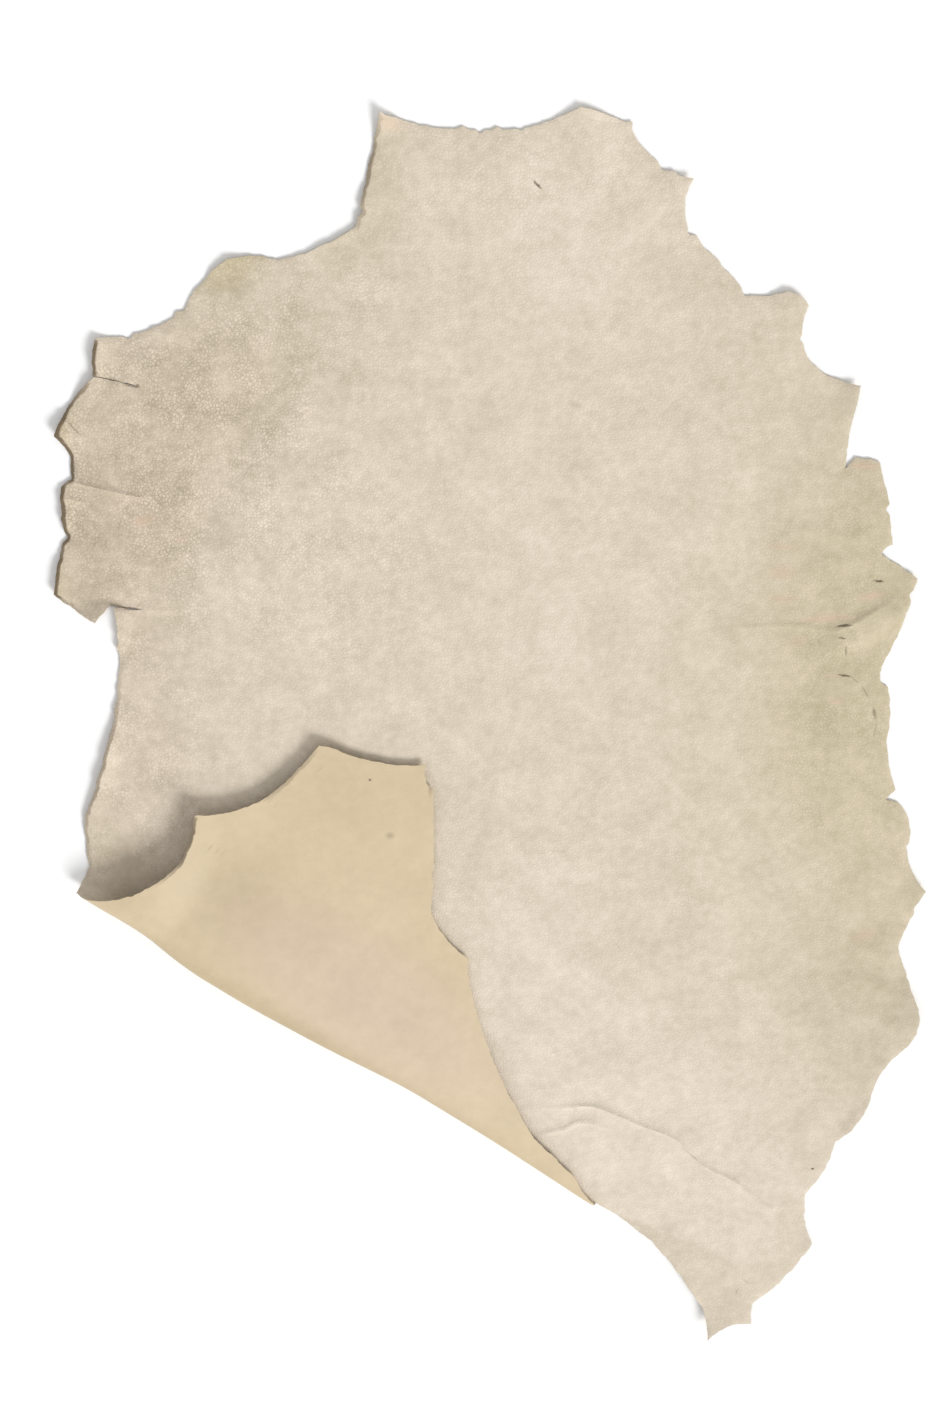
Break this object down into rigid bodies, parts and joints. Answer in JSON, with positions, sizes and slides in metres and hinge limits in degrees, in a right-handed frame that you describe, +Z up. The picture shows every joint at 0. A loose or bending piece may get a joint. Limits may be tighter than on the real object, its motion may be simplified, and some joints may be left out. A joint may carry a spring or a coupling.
{
  "type": "suede goatskin",
  "caption": "Whole suede leather hide with an uneven natural edge, lying flat with its lower left corner folded over to show the smooth grain side.",
  "frame": {"origin": "middle of the skin as it lies folded, on the surface under it", "axes": "+Y towards the neck end, +X to the right seen from above, +Z up from the surface"},
  "size_m": [0.578, 0.8594, 0.022],
  "materials": {
    "suede": "matt cream suede nap, with a smooth beige grain side"
  },
  "bodies": {
    "root": {"goatskin": "suede"}
  },
  "joints": []
}
